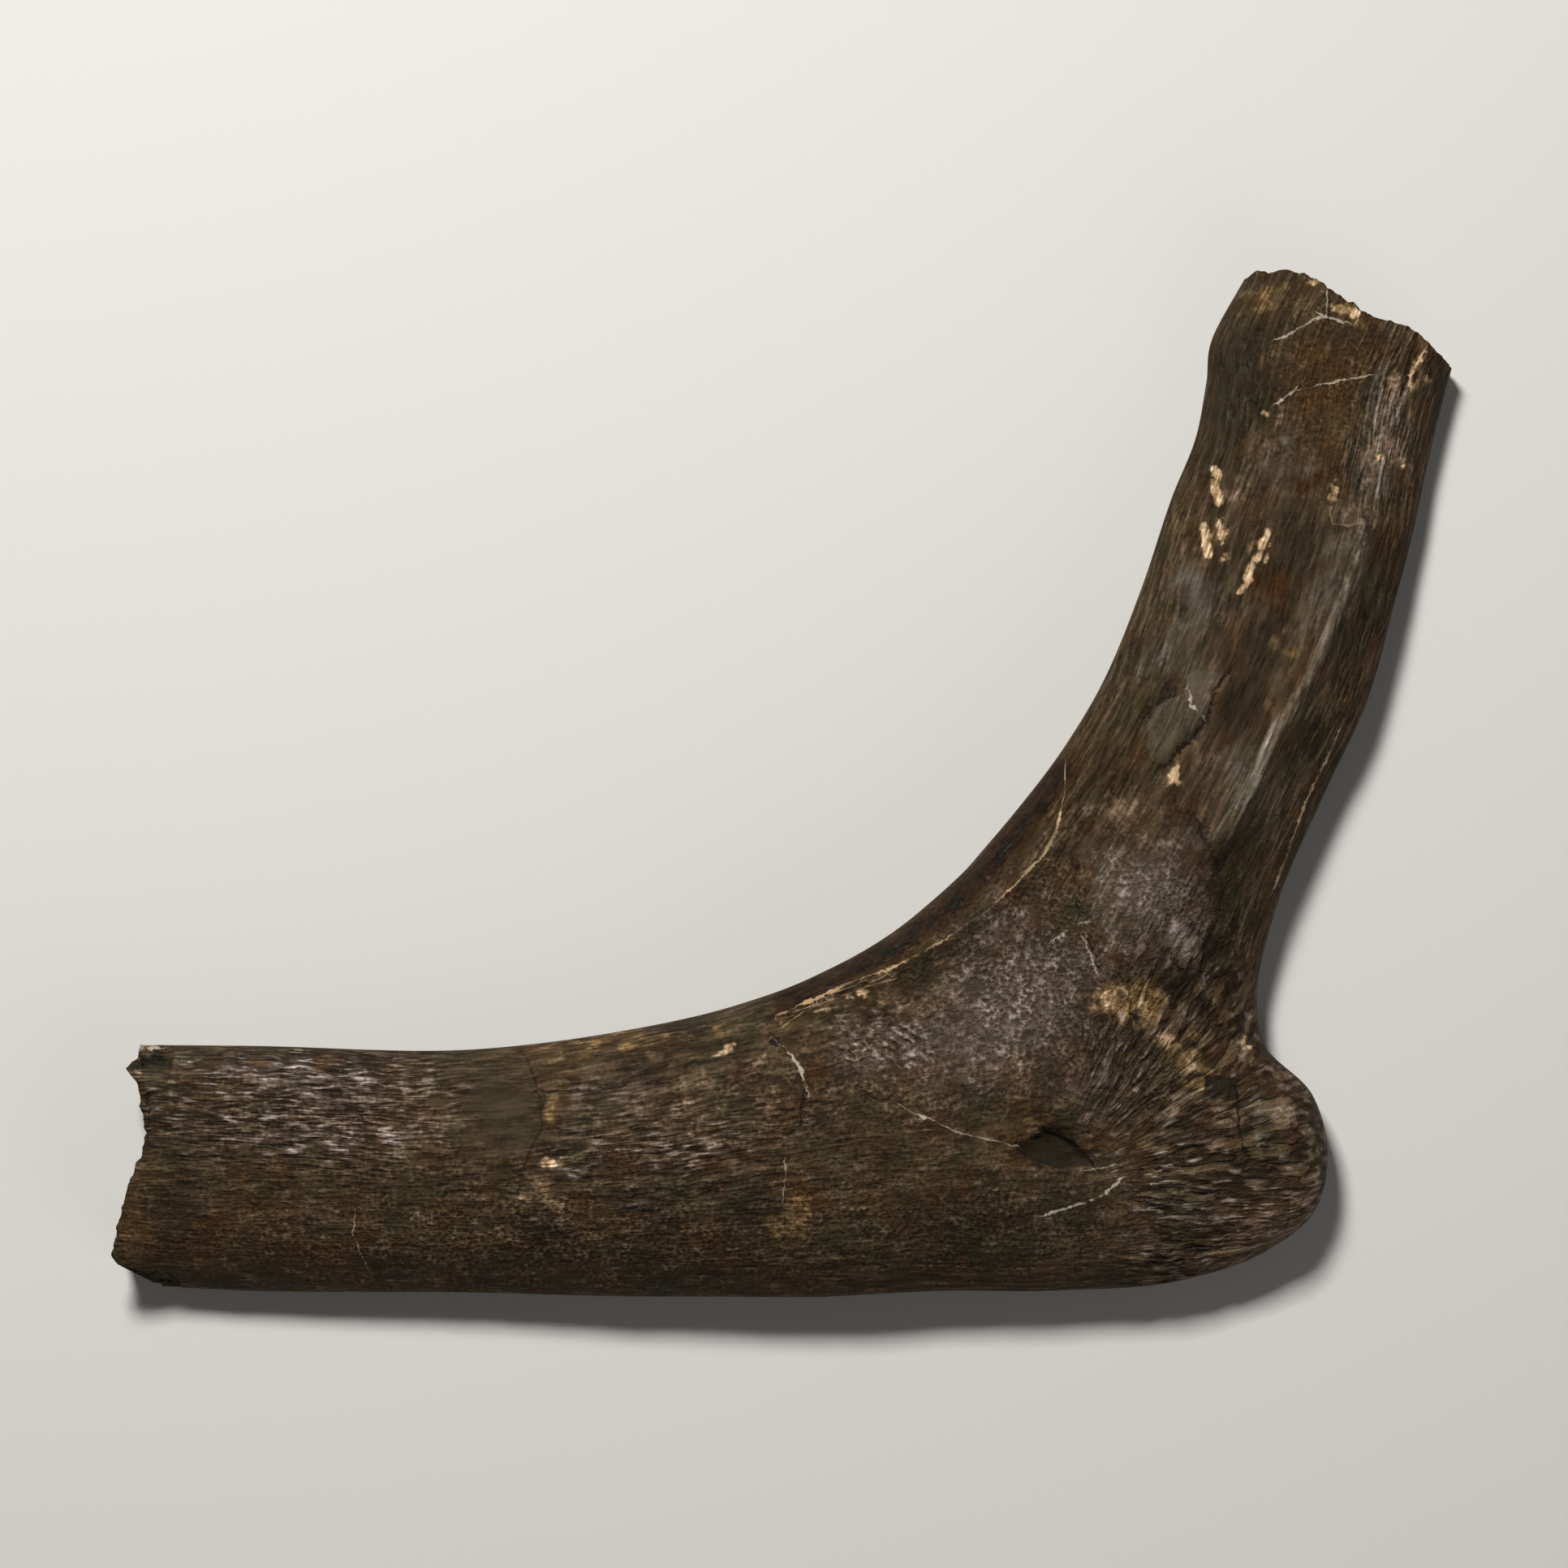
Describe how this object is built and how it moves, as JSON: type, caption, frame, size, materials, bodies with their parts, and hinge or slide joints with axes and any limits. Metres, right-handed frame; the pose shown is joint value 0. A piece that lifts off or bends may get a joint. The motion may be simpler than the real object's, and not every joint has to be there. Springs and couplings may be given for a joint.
{
  "type": "fossil rib",
  "caption": "Head end of a large dinosaur's dorsal rib, turned to stone: a flat broken shaft, a knobbly tubercle and a broken neck, lying on its back face.",
  "frame": {"origin": "middle of the bounding box in plan, on the surface that the rib lies on", "axes": "+X along the shaft towards the tubercle, +Y up the neck, +Z out of the face that is shown"},
  "size_m": [0.2807, 0.2151, 0.031],
  "materials": {
    "fossil_bone": "dark brown mineral-filled bone, cleaned and sealed, dull shine with glints on its fibres"
  },
  "bodies": {
    "root": {"rib": "fossil_bone"}
  },
  "joints": []
}
